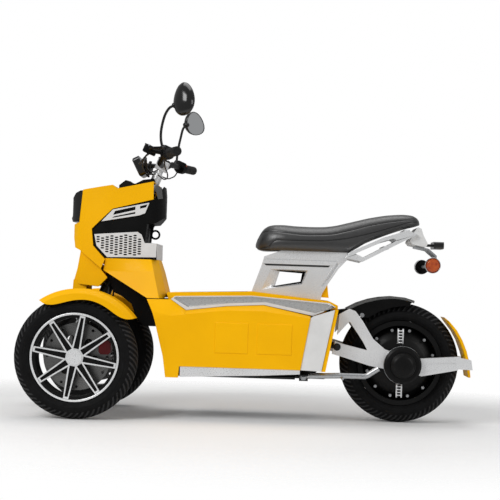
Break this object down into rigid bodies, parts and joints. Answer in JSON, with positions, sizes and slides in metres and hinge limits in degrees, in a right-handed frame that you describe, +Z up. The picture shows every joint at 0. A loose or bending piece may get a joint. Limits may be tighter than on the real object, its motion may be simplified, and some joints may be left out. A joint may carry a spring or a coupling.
{
  "type": "electric three-wheel scooter",
  "caption": "Electric scooter with paired steered front wheels, a hub-motor rear wheel, a flat floor over its battery, a long saddle, mirrors and a folding side stand.",
  "frame": {"origin": "floor level under the centre of the bounding box", "axes": "-X is the way it drives, +Y is its right side, +Z is up"},
  "size_m": [1.7522, 0.735, 1.2652],
  "materials": {
    "yellow_body_paint": "glossy solid yellow",
    "silver_paint": "satin silver paint on cast aluminium",
    "pale_grey_plastic": "satin pale grey",
    "channel_grey": "satin grey",
    "black_plastic": "fine grained, unpainted",
    "black_frame_paint": "satin black enamel",
    "motor_black": "black powder coat",
    "tyre_rubber": "matt vulcanised rubber",
    "disc_steel": "ground",
    "hose_rubber": "satin",
    "bright_steel": "zinc plated",
    "caliper_red": "anodised dark red",
    "lamp_black": "glossy",
    "lamp_glass": "smoked clear lens",
    "indicator_orange": "translucent amber",
    "mirror_glass": "silvered",
    "saddle_leather": "black grained cover on foam",
    "grip_rubber": "moulded",
    "mat_rubber": "ribbed",
    "battery_case": "dark case"
  },
  "bodies": {
    "chassis": {"main_frame": "black_frame_paint", "front_suspension": "black_frame_paint", "battery_pack": "battery_case", "side_panels": "yellow_body_paint", "channel_trims": "channel_grey", "rear_panels": "pale_grey_plastic", "sills": "silver_paint", "floor_cover": "yellow_body_paint", "spine_cover": "black_plastic", "dash_trims": "pale_grey_plastic", "brake_hoses": "hose_rubber", "foot_mat": "mat_rubber", "rear_closure": "yellow_body_paint", "wheel_arch_liner": "black_plastic", "head_fairing": "yellow_body_paint", "headlamp": "lamp_black", "headlamp_lens": "lamp_glass", "inner_fairing": "black_plastic", "louvre_panels": "pale_grey_plastic", "mesh_grilles": "pale_grey_plastic", "top_cowl": "black_plastic", "bag_hook": "black_plastic", "front_shield": "yellow_body_paint", "knee_shield": "yellow_body_paint", "saddle_leg": "silver_paint", "saddle_cushion": "saddle_leather", "grab_rails": "silver_paint", "tail_cover": "pale_grey_plastic", "tail_lamp": "lamp_black", "plate_bracket": "black_plastic", "rear_indicators": "indicator_orange", "swing_arm": "silver_paint", "hub_covers": "black_plastic", "rear_hugger": "black_plastic", "rear_mudguard": "yellow_body_paint"},
    "steering_gear": {"steering_column": "silver_paint", "handlebar": "motor_black", "grips": "grip_rubber", "control_housings": "black_plastic", "mirrors": "black_plastic", "mirror_glasses": "mirror_glass", "instrument_pod": "lamp_black", "control_cables": "hose_rubber"},
    "crank": {"steering_crank": "black_frame_paint"},
    "track_rod": {"tie_rod": "bright_steel"},
    "left_upright": {"left_knuckle": "black_frame_paint", "left_caliper": "caliper_red", "left_fender": "yellow_body_paint"},
    "right_upright": {"right_knuckle": "black_frame_paint", "right_caliper": "caliper_red", "right_fender": "yellow_body_paint"},
    "left_front_wheel": {"left_front_tyre": "tyre_rubber", "left_front_rim": "silver_paint", "left_brake_disc": "disc_steel"},
    "right_front_wheel": {"right_front_tyre": "tyre_rubber", "right_front_rim": "silver_paint", "right_brake_disc": "disc_steel"},
    "rear_wheel": {"rear_tyre": "tyre_rubber", "rear_motor_wheel": "motor_black"},
    "stand": {"side_stand": "bright_steel"}
  },
  "joints": [
    {"name": "steering", "type": "hinge", "parent": "chassis", "child": "steering_gear", "pos_m": [-0.647, 0, 0.33], "axis": [0.3827, 0, 0.9239], "range_deg": [-30, 30]},
    {"name": "crank_turn", "type": "hinge", "parent": "chassis", "child": "crank", "pos_m": [-0.647, 0, 0.2], "axis": [0, 0, 1], "range_deg": [-30, 30]},
    {"name": "track_rod_swing", "type": "hinge", "parent": "crank", "child": "track_rod", "pos_m": [-0.572, 0, 0.2057], "axis": [0, 0, 1], "range_deg": [-30, 30]},
    {"name": "left_steer", "type": "hinge", "parent": "chassis", "child": "left_upright", "pos_m": [-0.647, -0.205, 0.233], "axis": [0, 0, 1], "range_deg": [-30, 30]},
    {"name": "right_steer", "type": "hinge", "parent": "chassis", "child": "right_upright", "pos_m": [-0.647, 0.205, 0.233], "axis": [0, 0, 1], "range_deg": [-30, 30]},
    {"name": "left_wheel_spin", "type": "hinge", "parent": "left_upright", "child": "left_front_wheel", "pos_m": [-0.647, -0.25, 0.233], "axis": [0, 1, 0], "continuous": true},
    {"name": "right_wheel_spin", "type": "hinge", "parent": "right_upright", "child": "right_front_wheel", "pos_m": [-0.647, 0.25, 0.233], "axis": [0, 1, 0], "continuous": true},
    {"name": "rear_wheel_spin", "type": "hinge", "parent": "chassis", "child": "rear_wheel", "pos_m": [0.592, 0, 0.2364], "axis": [0, 1, 0], "continuous": true},
    {"name": "side_stand_fold", "type": "hinge", "parent": "chassis", "child": "stand", "pos_m": [0.213, -0.15, 0.181], "axis": [0, 0.6143, -0.7891], "range_deg": [0, 104]}
  ],
  "couplings": [
    {"joint": "crank_turn", "follows": "steering", "ratio": 1},
    {"joint": "track_rod_swing", "follows": "steering", "ratio": -1},
    {"joint": "left_steer", "follows": "steering", "ratio": 1},
    {"joint": "right_steer", "follows": "steering", "ratio": 1}
  ]
}
